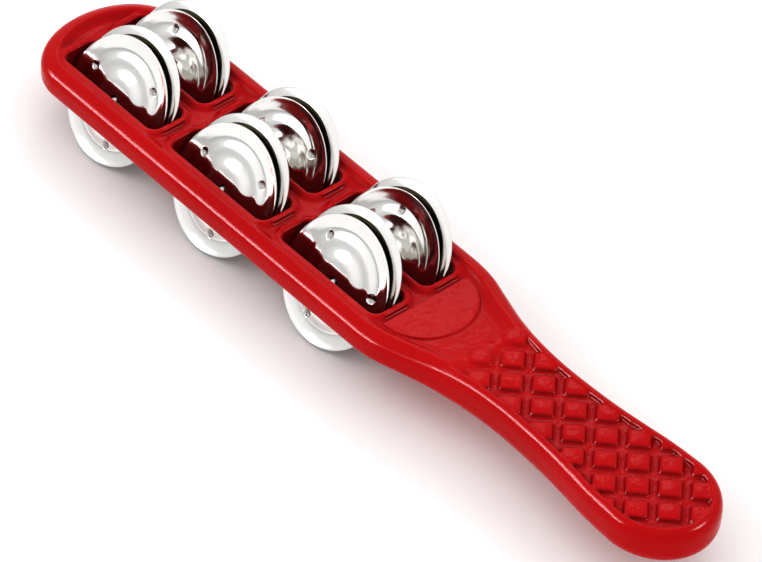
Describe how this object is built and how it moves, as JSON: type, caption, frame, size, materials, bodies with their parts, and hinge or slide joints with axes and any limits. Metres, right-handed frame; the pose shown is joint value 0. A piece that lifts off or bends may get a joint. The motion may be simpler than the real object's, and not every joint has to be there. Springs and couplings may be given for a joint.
{
  "type": "jingle stick",
  "caption": "Hand-held plastic jingle stick: a flat oval head with two rows of windows, paired metal jingles on cross pins, and a waisted handle with a diamond-pad grip.",
  "frame": {"origin": "centre of the bounding box: middle of the length and width, on the joint plane of the two shells", "axes": "+X from the head to the butt of the handle, +Y across the two rows of jingles, +Z out of the upper face"},
  "size_m": [0.279, 0.0488, 0.036],
  "materials": {
    "red_plastic": "glossy moulded",
    "pin_steel": "drawn wire",
    "nickel_sheet": "polished nickel plate"
  },
  "bodies": {
    "frame": {"frame_upper_shell": "red_plastic", "frame_lower_shell": "red_plastic", "pin_left_1": "pin_steel", "pin_left_2": "pin_steel", "pin_left_3": "pin_steel", "pin_right_1": "pin_steel", "pin_right_2": "pin_steel", "pin_right_3": "pin_steel"},
    "jingle_left_1_a": {"jingle_left_1_a": "nickel_sheet"},
    "jingle_left_1_b": {"jingle_left_1_b": "nickel_sheet"},
    "jingle_left_2_a": {"jingle_left_2_a": "nickel_sheet"},
    "jingle_left_2_b": {"jingle_left_2_b": "nickel_sheet"},
    "jingle_left_3_a": {"jingle_left_3_a": "nickel_sheet"},
    "jingle_left_3_b": {"jingle_left_3_b": "nickel_sheet"},
    "jingle_right_1_a": {"jingle_right_1_a": "nickel_sheet"},
    "jingle_right_1_b": {"jingle_right_1_b": "nickel_sheet"},
    "jingle_right_2_a": {"jingle_right_2_a": "nickel_sheet"},
    "jingle_right_2_b": {"jingle_right_2_b": "nickel_sheet"},
    "jingle_right_3_a": {"jingle_right_3_a": "nickel_sheet"},
    "jingle_right_3_b": {"jingle_right_3_b": "nickel_sheet"}
  },
  "joints": [
    {"name": "jingle_left_1_a_spin", "type": "hinge", "parent": "frame", "child": "jingle_left_1_a", "pos_m": [-0.1048, -0.013, 0], "axis": [0, 0.866, -0.5], "continuous": true},
    {"name": "jingle_left_1_b_spin", "type": "hinge", "parent": "frame", "child": "jingle_left_1_b", "pos_m": [-0.1048, -0.0063, 0], "axis": [0, 0.866, -0.5], "continuous": true},
    {"name": "jingle_left_2_a_spin", "type": "hinge", "parent": "frame", "child": "jingle_left_2_a", "pos_m": [-0.0544, -0.013, 0], "axis": [0, 0.866, -0.5], "continuous": true},
    {"name": "jingle_left_2_b_spin", "type": "hinge", "parent": "frame", "child": "jingle_left_2_b", "pos_m": [-0.0544, -0.0063, 0], "axis": [0, 0.866, -0.5], "continuous": true},
    {"name": "jingle_left_3_a_spin", "type": "hinge", "parent": "frame", "child": "jingle_left_3_a", "pos_m": [-0.004, -0.013, 0], "axis": [0, 0.866, -0.5], "continuous": true},
    {"name": "jingle_left_3_b_spin", "type": "hinge", "parent": "frame", "child": "jingle_left_3_b", "pos_m": [-0.004, -0.0063, 0], "axis": [0, 0.866, -0.5], "continuous": true},
    {"name": "jingle_right_1_a_spin", "type": "hinge", "parent": "frame", "child": "jingle_right_1_a", "pos_m": [-0.1048, 0.0063, 0], "axis": [0, 0.866, -0.5], "continuous": true},
    {"name": "jingle_right_1_b_spin", "type": "hinge", "parent": "frame", "child": "jingle_right_1_b", "pos_m": [-0.1048, 0.013, 0], "axis": [0, 0.866, -0.5], "continuous": true},
    {"name": "jingle_right_2_a_spin", "type": "hinge", "parent": "frame", "child": "jingle_right_2_a", "pos_m": [-0.0544, 0.0063, 0], "axis": [0, 0.866, -0.5], "continuous": true},
    {"name": "jingle_right_2_b_spin", "type": "hinge", "parent": "frame", "child": "jingle_right_2_b", "pos_m": [-0.0544, 0.013, 0], "axis": [0, 0.866, -0.5], "continuous": true},
    {"name": "jingle_right_3_a_spin", "type": "hinge", "parent": "frame", "child": "jingle_right_3_a", "pos_m": [-0.004, 0.0063, 0], "axis": [0, 0.866, -0.5], "continuous": true},
    {"name": "jingle_right_3_b_spin", "type": "hinge", "parent": "frame", "child": "jingle_right_3_b", "pos_m": [-0.004, 0.013, 0], "axis": [0, 0.866, -0.5], "continuous": true}
  ]
}
